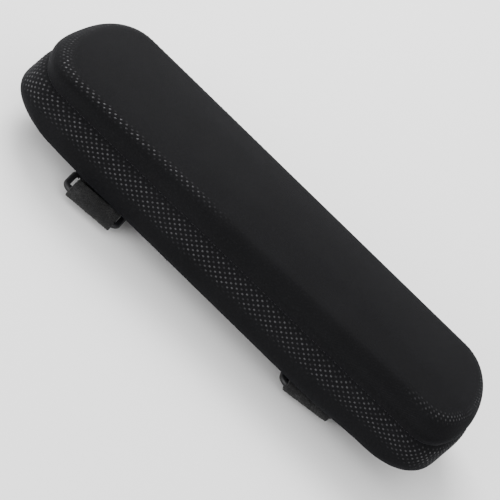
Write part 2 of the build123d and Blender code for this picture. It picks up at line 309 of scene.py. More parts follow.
def wall(profile, cells_up):
    """A wall's points, row by row from the bottom up, one column for each cell round it."""
    straight, round_x, round_y = plan_columns()
    grid = []
    for height, side_inset, end_inset in profile_rows(profile, cells_up + 1):
        half_width = HALF_WIDTH - side_inset
        reach = END_REACH * half_width / HALF_WIDTH
        x = straight * (HALF_LENGTH - end_inset - reach) + round_x * reach
        grid.append(np.stack([x, round_y * half_width, np.full_like(x, height)], axis=1))
    return np.array(grid)


def lid_border(detail=1):
    """The lid's border as (i, j) grid places, in the order of the columns round the wall."""
    along, across = CELLS_ALONG * detail, CELLS_ACROSS * detail
    border = [(i, 0) for i in range(along)]
    border += [(along, j) for j in range(across)]
    border += [(along - i, across) for i in range(along)]
    border += [(0, across - j) for j in range(across)]
    return np.array(border)


def lid(rim, rise):
    """The points of a crowned lid inside a closed rim, filled in from its four sides."""
    border = lid_border()
    grid = np.zeros((CELLS_ALONG + 1, CELLS_ACROSS + 1, 3))
    grid[border[:, 0], border[:, 1]] = rim
    u = np.linspace(0, 1, CELLS_ALONG + 1)[:, None, None]
    v = np.linspace(0, 1, CELLS_ACROSS + 1)[None, :, None]
    sides = (1 - v) * grid[:, :1] + v * grid[:, -1:] + (1 - u) * grid[:1] + u * grid[-1:]
    corners = (1 - u) * ((1 - v) * grid[0, 0] + v * grid[0, -1])
    corners = corners + u * ((1 - v) * grid[-1, 0] + v * grid[-1, -1])
    filled = sides - corners
    crown = np.zeros(grid.shape[:2])
    for _ in range(LID_RELAX_STEPS):
        inner = crown[:-2, 1:-1] + crown[2:, 1:-1] + crown[1:-1, :-2] + crown[1:-1, 2:]
        crown[1:-1, 1:-1] = inner / 4 + 1
    filled[..., 2] += rise * crown / max(crown.max(), 1)
    return filled


def sculpt(grid):
    """The pad's own irregular shape: its leaning crest, its swells and its hollows."""
    moved = grid.copy()
    near = smooth_step(*LEAN_ACROSS, -grid[..., 1]) * smooth_step(*LEAN_HEIGHTS, grid[..., 2])
    lean = CREST_LEAN + CREST_DRIFT * np.clip(grid[..., 0] / CREST_DRIFT_REACH, -1, 1)
    moved[..., 1] += near * lean
    for middle, reach, move in SWELLS:
        gap = (grid - np.array(middle) * MM) / (np.array(reach) * MM)
        moved += np.exp(-(gap**2).sum(axis=-1))[..., None] * np.array(move) * MM
    return moved


# ---------------------------------------------------------------- cloth simulation

PRESSURE = 3.0
SWELL_LIMIT = 0.7 * MM
SIMULATION_FRAMES = 20


def inflate(points, faces, held):
    """Swells a closed cloth under pressure while its held points stay where they are."""
    piece = mesh_object("inflating", points, faces)
    scene = bpy.context.scene
    piece.vertex_groups.new(name="held").add([int(i) for i in held], 1.0, "REPLACE")
    cloth = piece.modifiers.new("Cloth", "CLOTH")
    cloth.settings.quality = 6
    cloth.settings.tension_stiffness = 12
    cloth.settings.compression_stiffness = 12
    cloth.settings.bending_stiffness = 1.5
    cloth.settings.use_pressure = True
    cloth.settings.uniform_pressure_force = PRESSURE
    cloth.settings.vertex_group_mass = "held"
    cloth.settings.effector_weights.gravity = 0
    cloth.point_cache.frame_start = 1
    cloth.point_cache.frame_end = SIMULATION_FRAMES
    for number in range(1, SIMULATION_FRAMES + 1):
        scene.frame_set(number)
    swollen = piece.evaluated_get(bpy.context.evaluated_depsgraph_get()).data
    result = np.array([vertex.co for vertex in swollen.vertices])
    scene.frame_set(1)
    bpy.data.objects.remove(piece)
    return result


def swell(points, faces, held):
    """Moves the points as the cloth swells, but never by more than the foam inside gives."""
    move = inflate(points, faces, held) - points
    length = np.linalg.norm(move, axis=1, keepdims=True) + 1e-12
    return points + move / length * SWELL_LIMIT * np.tanh(length / SWELL_LIMIT)


def closed_shell(side, crown, top, base):
    """The whole cover as one closed mesh: its points and faces, and the points of wall and lids."""
    rows = np.concatenate([side, crown[1:]])
    numbers = np.arange(rows.shape[0] * CELLS_ROUND).reshape(rows.shape[0], CELLS_ROUND)
    points, faces, lids = [rows.reshape(-1, 3)], [grid_faces(numbers, closed=True)], []
    border = lid_border()
    for grid, rim, turn in ((top, numbers[-1], -1), (base, numbers[0], 1)):
        indices = np.zeros(grid.shape[:2], int)
        indices[border[:, 0], border[:, 1]] = rim
        inner = sum(len(p) for p in points) + np.arange(grid[1:-1, 1:-1, 0].size)
        indices[1:-1, 1:-1] = inner.reshape(CELLS_ALONG - 1, CELLS_ACROSS - 1)
        points.append(grid[1:-1, 1:-1].reshape(-1, 3))
        faces.append(grid_faces(indices)[:, ::turn])
        lids.append(indices)
    return np.concatenate(points), np.concatenate(faces), numbers, lids


def cover_shape():
    """The cover's coarse grids: the side's wall, the crown's wall, the lid and the underside."""
    side = wall(SIDE_PROFILE, CELLS_UP_SIDE)
    crown = wall(CROWN_PROFILE, CELLS_UP_CROWN)
    top = lid(crown[-1], TOP_HEIGHT - crown[-1, 0, 2])
    base = lid(side[0], 0)
    points, faces, numbers, lids = closed_shell(side, crown, top, base)
    # The seam, the crest, the underside and the fabric beside the zip stay where they are.
    near_zip = points[:, 1] > 0.9 * HALF_WIDTH
    near_zip &= np.abs(points[:, 0]) < SLOT_HALF_LENGTH + ZIP_HELD_ALONG
    near_zip &= np.abs(points[:, 2] - ZIP_HEIGHT) < SLOT_HALF_HEIGHT + ZIP_HELD_UP
    held = [numbers[CELLS_UP_SIDE], numbers[-1], lids[1].ravel(), np.flatnonzero(near_zip)]
    points = swell(points, faces, np.unique(np.concatenate(held)))
    rows = points[numbers]
    return rows[: CELLS_UP_SIDE + 1], rows[CELLS_UP_SIDE:], points[lids[0]], points[lids[1]]


# ---------------------------------------------------------------- materials


class Shader:
    """Builds one material's nodes."""

    def __init__(self, name):
        self.material = bpy.data.materials.new(name)
        self.material.use_nodes = True
        self.tree = self.material.node_tree
        self.surface = self.tree.nodes["Principled BSDF"]

    def join(self, socket, value):
        """Links a socket to another node's output, or sets its value."""
        if isinstance(value, bpy.types.NodeSocket):
            self.tree.links.new(value, socket)
        elif socket.type == "RGBA":
            socket.default_value = (*value[:3], 1.0)
        else:
            socket.default_value = value

    def set(self, node, **inputs):
        """Joins each input, named with _ for a space, to another node's output or a value."""
        for name, value in inputs.items():
            self.join(node.inputs[name.replace("_", " ")], value)

    def node(self, kind, output=0, settings=None, **inputs):
        made = self.tree.nodes.new("ShaderNode" + kind)
        for name, value in (settings or {}).items():
            setattr(made, name, value)
        self.set(made, **inputs)
        return made.outputs[output]

    def calc(self, operation, first, second=0.0):
        made = self.tree.nodes.new("ShaderNodeMath")
        made.operation = operation
        self.join(made.inputs[0], first)
        self.join(made.inputs[1], second)
        return made.outputs[0]

    def ramp(self, value, low, high, out_low=0.0, out_high=1.0):
        made = self.tree.nodes.new("ShaderNodeMapRange")
        made.interpolation_type = "SMOOTHSTEP"
        for socket, limit in zip(made.inputs, (value, low, high, out_low, out_high)):
            self.join(socket, limit)
        return made.outputs[0]

    def mix(self, share, first, second):
        """Blends two colours. A colour mix has its inputs at 0, 6 and 7, and its result at 2."""
        made = self.tree.nodes.new("ShaderNodeMix")
        made.data_type = "RGBA"
        for index, value in ((0, share), (6, first), (7, second)):
            self.join(made.inputs[index], value)
        return made.outputs[2]

    def noise(self, scale, detail=2.0, roughness=0.5):
        place = self.node("TexCoord", output=3)
        return self.node("TexNoise", Vector=place, Scale=scale, Detail=detail, Roughness=roughness)

    def cells(self, scale):
        """Distance to the nearest of many scattered points."""
        place = self.node("TexCoord", output=3)
        return self.node("TexVoronoi", Vector=place, Scale=scale)

    def bump(self, height, depth, strength=1.0):
        return self.node("Bump", Height=height, Distance=depth, Strength=strength)

    def lattice(self):
        """The lattice map's u and v."""
        parts = self.tree.nodes.new("ShaderNodeSeparateXYZ")
        self.join(parts.inputs[0], self.node("UVMap", settings={"uv_map": "lattice"}))
        return parts.outputs[:2]

    def edges(self, low, high):
        """1 where the surface is sharply convex, and 0 on the flat."""
        return self.ramp(self.node("NewGeometry", output=POINTINESS), low, high)


POINTINESS = 7


def lattice_waves(shader, cells=1.0):
    """Cosines along u and v of the lattice map, at a number of waves to the cell."""
    turns = 2 * math.pi * cells
    return [shader.calc("COSINE", shader.calc("MULTIPLY", way, turns)) for way in shader.lattice()]


GROUND_COLOUR = (0.0046, 0.0046, 0.0051)
# The dots' colour where their painted glint is full.
DOT_COLOUR = (0.021, 0.021, 0.023)


def shade(colour, share):
    return tuple(share * part for part in colour)


def mesh_fabric():
    """Air-mesh knit: a dark ground, with staggered lighter yarn dots shown only where a painted glint
    mask puts light on them.
    """
    s = Shader("cover_mesh")
    wave_u, wave_v = lattice_waves(s)
    lattice = s.calc("MULTIPLY", wave_u, wave_v)
    dots = s.ramp(lattice, 0.25, 0.95)
    loops_u, loops_v = lattice_waves(s, 4.0)
    loops = s.calc("MULTIPLY", loops_u, loops_v)
    # The dots' painted glint mask: where light would catch the dots, on the side's bulge and along the
    # crest.
    dot_glint_mask = s.node("Attribute", output=2, settings={"attribute_name": "dot_glint_mask"})
    speckle = s.noise(1500, 3.0, 0.7)
    patches = s.noise(38, 2.0)
    dots = s.calc("MULTIPLY", dots, dot_glint_mask)
    dots = s.calc("MULTIPLY", dots, s.ramp(s.noise(420, 1.0), 0.3, 0.65, 0.35, 1.0))
    ground = s.mix(s.ramp(patches, 0.3, 0.7), shade(GROUND_COLOUR, 0.82), GROUND_COLOUR)
    ground = s.mix(s.ramp(speckle, 0.45, 0.8, 0.0, 0.5), ground, shade(GROUND_COLOUR, 2.6))
    # Painted glint: the dots turn lighter only where the mask paints light on them.
    colour = s.mix(dots, ground, DOT_COLOUR)
    relief = s.calc("ADD", s.calc("MULTIPLY", dots, 0.8), s.calc("MULTIPLY", loops, 0.22))
    relief = s.calc("ADD", relief, s.calc("MULTIPLY", speckle, 0.5))
    s.set(
        s.surface,
        Base_Color=colour,
        Roughness=s.ramp(dots, 0.0, 1.0, 0.82, 0.5),
        Normal=s.bump(relief, 0.22 * MM, 0.9),
        Sheen_Weight=0.02,
        Sheen_Roughness=0.4,
        Sheen_Tint=(0.75, 0.78, 0.9, 1.0),
        Specular_IOR_Level=s.ramp(dots, 0.0, 1.0, 0.05, 0.36),
    )
    return s.material


def base_knit():
    """The close matt knit of the underside."""
    s = Shader("grip_base")
    wave_u, wave_v = lattice_waves(s, 3.0)
    loops = s.calc("MULTIPLY", wave_u, wave_v)
    speckle = s.noise(1300, 3.0, 0.7)
    colour = s.mix(s.ramp(speckle, 0.4, 0.8), (0.006, 0.006, 0.0065), (0.02, 0.02, 0.021))
    relief = s.calc("ADD", loops, speckle)
    s.set(
        s.surface,
        Base_Color=colour,
        Roughness=0.9,
        Normal=s.bump(relief, 0.15 * MM),
        Sheen_Weight=0.05,
        Specular_IOR_Level=0.12,
    )
    return s.material


def foam():
    """Open-celled foam, with painted shade in its pores."""
    s = Shader("foam")
    pore_relief_and_shade = s.cells(1400)
    tone = s.noise(60, 3.0)
    light = s.mix(tone, (0.70, 0.66, 0.56), (0.80, 0.77, 0.68))
    # Painted shade: the pores darker, as if shade falls into them.
    colour = s.mix(s.ramp(pore_relief_and_shade, 0.15, 0.5), (0.42, 0.39, 0.33), light)
    s.set(s.surface, Base_Color=colour, Roughness=0.95, Normal=s.bump(pore_relief_and_shade, 0.3 * MM))
    return s.material


def loop_webbing():
    """Napped webbing, a felt of tiny loops whose tips carry a painted highlight, more in some patches.
    """
    s = Shader("loop_webbing")
    tufts = s.cells(1500)
    fuzz = s.noise(2600, 4.0, 0.8)
    tip_patches = s.ramp(s.noise(120, 3.0), 0.4, 0.75)
    tips_and_painted_highlight = s.ramp(s.calc("ADD", fuzz, s.calc("MULTIPLY", tip_patches, 0.1)), 0.5, 0.72)
    # Painted highlight: the loops' tips lighter, as where light catches them.
    colour = s.mix(tips_and_painted_highlight, (0.0055, 0.0055, 0.0058), (0.045, 0.045, 0.046))
    relief = s.calc("ADD", s.calc("MULTIPLY", tufts, -0.8), fuzz)
    s.set(
        s.surface,
        Base_Color=colour,
        Roughness=0.9,
        Normal=s.bump(relief, 0.35 * MM),
        Sheen_Weight=0.08,
        Sheen_Roughness=0.5,
        Specular_IOR_Level=0.15,
    )
    return s.material


def flat_webbing(name, light):
    """Woven tape: warp threads crossed by weft, from the lattice map's own coordinates."""
    s = Shader(name)
    wave_u, wave_v = lattice_waves(s)
    weave = s.calc("MULTIPLY", wave_u, wave_v)
    ribs = s.calc("ADD", weave, s.calc("MULTIPLY", wave_u, 0.4))
    speckle = s.noise(1800, 3.0, 0.7)
    colour = s.mix(s.ramp(s.calc("ADD", ribs, speckle), 0.2, 1.6), (0.006, 0.006, 0.0065), light)
    s.set(
        s.surface,
        Base_Color=colour,
        Roughness=0.8,
        Normal=s.bump(ribs, 0.2 * MM),
        Sheen_Weight=0.05,
        Specular_IOR_Level=0.15,
    )
    return s.material


def thread():
    """Twisted polyester thread."""
    s = Shader("thread")
    slant = s.calc("ADD", *s.lattice())
    twist = s.calc("COSINE", s.calc("MULTIPLY", slant, 2 * math.pi))
    colour = s.mix(s.ramp(twist, -0.8, 0.9), (0.004, 0.004, 0.0045), (0.014, 0.014, 0.015))
    s.set(
        s.surface,
        Base_Color=colour,
        Roughness=0.7,
        Normal=s.bump(twist, 0.08 * MM),
        Specular_IOR_Level=0.2,
    )
    return s.material


def moulded_plastic():
    """Satin black moulding with fine texture, and a painted highlight along its convex edges."""
    s = Shader("ring_plastic")
    grain = s.noise(2200, 3.0, 0.6)
    smears = s.noise(90, 3.0)
    edge = s.edges(0.52, 0.62)
    # Painted highlight: the convex edges lighter, where light catches the rim.
    colour = s.mix(s.calc("MULTIPLY", edge, 0.4), (0.008, 0.008, 0.009), (0.04, 0.04, 0.042))
    s.set(
        s.surface,
        Base_Color=colour,
        Roughness=s.ramp(smears, 0.3, 0.7, 0.42, 0.58),
        Normal=s.bump(grain, 0.03 * MM, 0.5),
        Specular_IOR_Level=0.3,
    )
    return s.material


def painted_metal():
    """Black enamel on die-cast metal, scuffed to bare metal at the edges."""
    s = Shader("zip_metal")
    scuffs = s.noise(700, 4.0, 0.7)
    edge = s.edges(0.56, 0.7)
    bare = s.calc("MULTIPLY", edge, s.ramp(scuffs, 0.54, 0.68, 0.0, 0.6))
    s.set(
        s.surface,
        Base_Color=s.mix(bare, (0.012, 0.012, 0.013), (0.2, 0.195, 0.19)),
        Metallic=s.calc("MULTIPLY", bare, 0.9),
        Roughness=s.ramp(scuffs, 0.3, 0.7, 0.34, 0.5),
        Normal=s.bump(scuffs, 0.02 * MM, 0.6),
        Specular_IOR_Level=0.35,
    )
    return s.material


def nylon():
    """The zip's coil: smooth dyed monofilament."""
    s = Shader("zip_coil")
    tone = s.noise(500, 2.0)
    colour = s.mix(tone, (0.006, 0.006, 0.0065), (0.018, 0.018, 0.019))
    s.set(
        s.surface,
        Base_Color=colour,
        Roughness=0.45,
        Normal=s.bump(tone, 0.04 * MM),
        Specular_IOR_Level=0.22,
    )
    return s.material


def hook_plastic():
    """The hook side of the fastener: stiff nylon, with a painted highlight on the hook tips and
    painted shade between them.
    """
    s = Shader("hook_tape")
    tips_and_painted_highlight = s.cells(1300)
    # Painted highlight on the hook tips, painted shade between them.
    colour = s.mix(s.ramp(tips_and_painted_highlight, 0.05, 0.4), (0.04, 0.04, 0.041), (0.007, 0.007, 0.0075))
    s.set(
        s.surface,
        Base_Color=colour,
        Roughness=0.5,
        Normal=s.bump(tips_and_painted_highlight, -0.2 * MM),
        Specular_IOR_Level=0.25,
    )
    return s.material


MESH_FABRIC = mesh_fabric()
BASE_KNIT = base_knit()
FOAM = foam()
LOOP_WEBBING = loop_webbing()
TAB_WEBBING = flat_webbing("webbing", (0.028, 0.028, 0.029))
ZIP_TAPE = flat_webbing("zip_tape", (0.022, 0.022, 0.023))
THREAD = thread()
PLASTIC = moulded_plastic()
METAL = painted_metal()
NYLON = nylon()
HOOKS = hook_plastic()


# ---------------------------------------------------------------- the cover


def knit_relief(u, v):
    """How far the knit stands proud at a place on the lattice, from 0 to 1."""
    lattice = np.cos(2 * math.pi * u) * np.cos(2 * math.pi * v)
    return smooth_step(0.3, 1.0, lattice)


def stand_off(glint_share, closed, u, v):
    """How far the knit's face stands off its sheet: all of it where the painted glint share is 1, a
    share at 0.
    """
    share = closed + (1 - closed) * glint_share
    return (KNIT_RELIEF * share * knit_relief(u, v))[..., None]


def lid_places(grid, detail):
    """Each point's own place on the lattice, for a lid's grid."""
    return np.stack(np.meshgrid(*[np.arange(n) / detail for n in grid.shape[:2]], indexing="ij"), -1)


def thicken(piece):
    """Gives a panel of the cover its thickness, inwards from the face that shows."""
    solid = piece.modifiers.new("thickness", "SOLIDIFY")
    solid.thickness = COVER_THICKNESS
    solid.offset = -1
    solid.use_even_offset = False
    return piece


def refine_wall(grid, cells_up, detail):
    rows = smooth_weights(grid.shape[0], cells_up * detail + 1)
    columns = smooth_weights(CELLS_ROUND, CELLS_ROUND * detail, closed=True)
    return np.einsum("ar,bc,rck->abk", rows, columns, grid)


def refine_lid(grid, detail):
    rows = smooth_weights(grid.shape[0], CELLS_ALONG * detail + 1)
    columns = smooth_weights(grid.shape[1], CELLS_ACROSS * detail + 1)
    return np.einsum("ar,bc,rck->abk", rows, columns, grid)


def wall_uv(quads, columns, detail):
    """Each corner's place on the lattice, the last column of faces running on past the first."""
    u = (quads % columns) / detail
    v = (quads // columns) / detail
    wraps = (u.max(axis=1) - u.min(axis=1)) > CELLS_ROUND / 2
    u[wraps] = np.where(u[wraps] < CELLS_ROUND / 2, u[wraps] + CELLS_ROUND, u[wraps])
    return np.stack([u, v], axis=-1)


def side_glint_and_relief(height):
    """The painted glint on the side's dots, which also sets the knit's relief: most on its upper half.
    """
    return smooth_step(*SIDE_GLINT_RISES, height) * (1 - 0.75 * smooth_step(*SIDE_GLINT_FADES, height))


def crown_glint_and_relief(height, x):
    """The same on the crown: most along its crest, towards the pad's two ends."""
    edge = smooth_step(*CREST_GLINT_RISES, height) * (1 - smooth_step(*CREST_GLINT_FADES, height))
    rear = (1 - smooth_step(*REAR_CREST, x)) * (0.35 + 0.65 * smooth_step(*REAR_TIP, x))
    front = smooth_step(*FRONT_CREST, x)
    return edge * (0.03 + 0.97 * (rear + front))


def build_side(grid):
    """The side band, with the slot for the zip in its far side."""
    detail = DETAIL_SIDE
    fine = refine_wall(grid, CELLS_UP_SIDE, detail)
    rows, columns = fine.shape[:2]
    u, v = np.meshgrid(np.arange(columns) / detail, np.arange(rows) / detail)
    normals = grid_normals(fine, closed=True)
    along_zip = (fine[..., 1] > 0) & (np.abs(fine[..., 0]) < SLOT_HALF_LENGTH)
    fine = fine + normals * stand_off(side_glint_and_relief(fine[..., 2]), SIDE_RELIEF_OUTSIDE_GLINT, u, v)
    slot_rows = np.abs(fine[..., 2] - ZIP_HEIGHT) < SLOT_HALF_HEIGHT
    inside = along_zip & slot_rows
    # The fabric beside the slot rolls in over the tape.
    gap_z = np.abs(fine[..., 2] - ZIP_HEIGHT) - SLOT_HALF_HEIGHT
    gap_x = np.abs(fine[..., 0]) - SLOT_HALF_LENGTH
    gap = np.hypot(np.maximum(gap_z, 0), np.maximum(gap_x, 0))
    lip = np.where(fine[..., 1] > 0, 1 - np.clip(gap / LIP_WIDTH, 0, 1), 0)
    fine[..., 1] -= lip**2 * LIP_DEPTH
    numbers = np.arange(rows * columns).reshape(rows, columns)
    quads = grid_faces(numbers, closed=True)
    kept = ~inside.ravel()[quads].any(axis=1)
    quads = quads[kept]
    used = np.unique(quads)
    renumber = np.zeros(rows * columns, int)
    renumber[used] = np.arange(len(used))
    points = fine.reshape(-1, 3)[used]
    piece = mesh_piece("side_cover", points, renumber[quads], MESH_FABRIC, "pad")
    set_corner_uv(piece, wall_uv(quads, columns, detail))
    # The painted glint mask for the side's dots.
    set_point_value(piece, "dot_glint_mask", side_glint_and_relief(points[:, 2]))
    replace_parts(piece, "cover_side_band")
    thicken(piece)


def build_crown(wall_grid, lid_grid):
    """The top panel: a wall up from the seam, turned over into the crowned lid."""
    detail = DETAIL_CROWN
    fine_wall = refine_wall(wall_grid, CELLS_UP_CROWN, detail)
    rows, columns = fine_wall.shape[:2]
    fine_lid = refine_lid(lid_grid, detail)
    border = lid_border(detail)
    fine_lid[border[:, 0], border[:, 1]] = fine_wall[-1]
    wall_normals = grid_normals(fine_wall, closed=True)
    lid_normals = -grid_normals(fine_lid, closed=False)
    rim_normals = wall_normals[-1] + lid_normals[border[:, 0], border[:, 1]]
    wall_normals[-1] = rim_normals / np.linalg.norm(rim_normals, axis=-1, keepdims=True)
    lid_normals[border[:, 0], border[:, 1]] = wall_normals[-1]
    u, v = np.meshgrid(np.arange(columns) / detail, np.arange(rows) / detail)
    glint_share = crown_glint_and_relief(fine_wall[..., 2], fine_wall[..., 0])
    fine_wall = fine_wall + wall_normals * stand_off(glint_share, CROWN_RELIEF_OUTSIDE_GLINT, u, v)
    places = lid_places(fine_lid, detail)
    fine_lid = fine_lid + lid_normals * stand_off(0, CROWN_RELIEF_OUTSIDE_GLINT, places[..., 0], places[..., 1])
    numbers = np.arange(rows * columns).reshape(rows, columns)
    wall_quads = grid_faces(numbers, closed=True)
    indices = np.zeros(fine_lid.shape[:2], int)
    inside = indices[1:-1, 1:-1]
    inside[...] = rows * columns + np.arange(inside.size).reshape(inside.shape)
    indices[border[:, 0], border[:, 1]] = numbers[-1]
    lid_quads = grid_faces(indices)[:, ::-1]
    lid_corners = grid_faces(np.arange(indices.size).reshape(indices.shape))[:, ::-1]
    lid_uv = places.reshape(-1, 2)[lid_corners]
    points = np.concatenate([fine_wall.reshape(-1, 3), fine_lid[1:-1, 1:-1].reshape(-1, 3)])
    faces = np.concatenate([wall_quads, lid_quads])
    piece = mesh_piece("top_cover", points, faces, MESH_FABRIC, "pad")
    set_corner_uv(piece, np.concatenate([wall_uv(wall_quads, columns, detail), lid_uv]))
    # The painted glint mask for the crown's dots, along its crest.
    set_point_value(piece, "dot_glint_mask", crown_glint_and_relief(points[:, 2], points[:, 0]))
    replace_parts(piece, "cover_top_panel")
    thicken(piece)


def build_base(grid):
    """The underside's panel, flat where the pad rests on the armrest."""
    fine = refine_lid(grid, DETAIL_BASE)
    fine[..., 2] = BASE_HEIGHT
    quads = grid_faces(np.arange(fine[..., 0].size).reshape(fine.shape[:2]))
    points = fine.reshape(-1, 3)
    piece = mesh_piece("underside_cover", points, quads, BASE_KNIT, "pad")
    set_corner_uv(piece, lid_places(fine, DETAIL_BASE).reshape(-1, 2)[quads])
    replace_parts(piece, "cover_bottom_panel")
    thicken(piece)


def build_core(side, crown, top, base):
    """The foam block, a little smaller all round than the cover's inside."""
    points, faces = closed_shell(side, crown, top, base)[:2]
    middle = np.array([0, 0, TOP_HEIGHT / 2])
    shrink = 1 - (COVER_THICKNESS + FOAM_GAP) / np.array([HALF_LENGTH, HALF_WIDTH, TOP_HEIGHT / 2])
    points = middle + (points - middle) * shrink
    piece = mesh_piece("foam_block", points, faces, FOAM, "pad")
    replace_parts(piece, "foam_core")


# ---------------------------------------------------------------- thread

STITCH_RADIUS = 0.26 * MM
STITCH_LIFT = 1.6 * STITCH_RADIUS
STITCH_SIDES = 6
# A stitch's arch, as (share of its length, lift, girth).
STITCH_ARCH = [
    (0.0, -0.9, 0.5),
    (0.12, 0.1, 0.9),
    (0.35, 0.55, 1.0),
    (0.65, 0.55, 1.0),
    (0.88, 0.1, 0.9),
    (1.0, -0.9, 0.5),
]
# The part of each step along a row that its stitch spans.
SEAM_STITCH = (0.14, 0.86)
BOX_STITCH = (0.12, 0.88)
# How far the seams' thread is sunk into the cover, and how far up and in the hem's thread lies.
SEAM_SINK = 0.35 * MM
HEM_HEIGHT = 0.35 * MM
HEM_INSET = 0.6 * MM


def sew(name, stitches):
    """One piece of separate arched stitches, each given as (start, end, outward normal)."""
    points, faces = [], []
    turn = np.linspace(0, 2 * math.pi, STITCH_SIDES, endpoint=False)
    for start, end, normal in stitches:
        start, end, normal = (np.array(v, float) for v in (start, end, normal))
        along = end - start
        side = np.cross(along, normal)
        side /= np.linalg.norm(side)
        circle = np.outer(np.cos(turn), side) + np.outer(np.sin(turn), normal)
        first = len(points) * STITCH_SIDES
        for share, lift, girth in STITCH_ARCH:
            middle = start + along * share + normal * lift * STITCH_LIFT
            points.append(middle + circle * STITCH_RADIUS * girth)
        rings = first + np.arange(len(STITCH_ARCH) * STITCH_SIDES).reshape(-1, STITCH_SIDES)
        faces += [*grid_faces(rings, closed=True), rings[0, ::-1], rings[-1]]
    piece = mesh_piece(name, np.concatenate(points), faces, THREAD, "pad")
    ring, place = np.divmod(corner_points(piece), STITCH_SIDES)
    set_corner_uv(piece, np.stack([ring, place / STITCH_SIDES], axis=1))
    return piece


def sew_round(name, loop, normals, node):
    """A lockstitch right round the pad, one stitch to each cell of the lattice."""
    steps = np.roll(loop, -1, axis=0) - loop
    starts, ends = (loop + share * steps for share in SEAM_STITCH)
    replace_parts(sew(name, zip(starts, ends, normals)), node)


def build_seams(side):
    outward = grid_normals(side, closed=True)[-1] * [1, 1, 0]
    outward /= np.linalg.norm(outward, axis=1, keepdims=True)
    sew_round("top_seam", side[-1] - outward * SEAM_SINK, outward, "top_seam_thread")
    hem = side[0] - outward * HEM_INSET
    hem[:, 2] = HEM_HEIGHT
    down = np.zeros_like(outward) - [0, 0, 1]
    sew_round("bottom_seam", hem, down, "bottom_seam_thread")


# ---------------------------------------------------------------- straps

STRAP_STEP = 0.5 * MM
# How far a band's rounded edge stands out past its flat, as a share of its thickness.
EDGE_BULGE = 0.3
# The ring's tab in millimetres, as (y, z): a loop round the ring's inner bar.
TAB_LINE = [(17.0, -0.76), (-1.96, -0.76), (-1.96, -4.68), (1.2, -4.68), (7.0, -1.81), (17.0, -1.81)]
TAB_BEND = 1.96 * MM
# The strap in millimetres, as (y, z): from its root down past the tab's loop, up through the
# ring, round its outer bar and back below itself as far as the tail.
RUN_LINE = [
    (24.5, -0.7),
    (17.5, -3.55),
    (6.4, -3.58),
    (1.5, -5.98),
    (-2.6, -5.98),
    (-7.0, -0.66),
    (-16.31, -0.66),
    (-16.31, -4.78),
    (-5.0, -6.95),
    (-2.6, -7.27),
    (1.3, -7.27),
    (7.0, -4.85),
]
RUN_BEND = 2.1 * MM
ROOT_LEVEL = -0.7
TAIL_LINE = [(7.0, -4.85), (17.5, -4.85), (25.5, -2.8)]
TAIL_BEND = 6 * MM
TAIL_LEVEL = -2.8
# The sewn boxes: low and high y, the root's from its end, and the height of their stitches.
TAB_BOX = (9 * MM, 15.5 * MM, -2.35 * MM)
ROOT_BOX = (-12 * MM, -2 * MM, -1.35 * MM)
BOX_MARGIN = 2.5 * MM
BOX_STEP = 3 * MM
CROSS_SPAN = (0.15, 0.88)
# The hook field.
HOOKS_START = 28 * MM
HOOKS_SHORT_OF_TAIL = 2 * MM
HOOKS_HALF_WIDTH = 11 * MM
HOOKS_LEVEL = (TAIL_LEVEL + 0.6) * MM
HOOKS_HEIGHT = 0.8 * MM
HOOK_STEP = 0.4 * MM


class StrapFrame:
    """A strap's own frame: x along its ring's hinge, y towards its root, z up."""

    def __init__(self, name):
        joint = JOINTS[f"{name}_ring_hinge"]
        self.along = np.array(joint["axis"])
        self.inward = np.array([-self.along[1], self.along[0], 0])
        self.origin = np.array([joint["pos_m"][0], joint["pos_m"][1], 0])
        self.root = (ROOT_Y - self.origin[1]) / self.inward[1]
        self.tail_end = self.root - TAIL_SHORT_OF_ROOT

    def place(self, points):
        points = np.asarray(points, float)
        flat = points[..., :1] * self.along + points[..., 1:2] * self.inward
        return self.origin + flat + points[..., 2:] * np.array([0, 0, 1])


def rounded_line(corners, radius):
    """A line through (y, z) corners in millimetres, rounded and evenly stepped, in metres."""
    corners = np.array(corners) * MM
    line = [corners[:1]]
    for before, corner, after in zip(corners, corners[1:], corners[2:]):
        runs = [np.linalg.norm(before - corner), np.linalg.norm(after - corner)]
        ways = [(before - corner) / runs[0], (after - corner) / runs[1]]
        half_turn = (math.pi - math.acos(np.clip(ways[0] @ ways[1], -1, 1))) / 2
        reach = min(radius * math.tan(half_turn), 0.49 * min(runs))
        t = np.linspace(0, 1, 12)[:, None]
        first, last = corner + ways[0] * reach, corner + ways[1] * reach
        line.append((1 - t) ** 2 * first + 2 * t * (1 - t) * corner + t**2 * last)
    line = np.concatenate([*line, corners[-1:]])
    travel = np.concatenate([[0], np.cumsum(np.linalg.norm(np.diff(line, axis=0), axis=1))])
    places = np.linspace(0, travel[-1], max(2, round(travel[-1] / STRAP_STEP)) + 1)
    return np.stack([np.interp(places, travel, line[:, k]) for k in (0, 1)], axis=1)


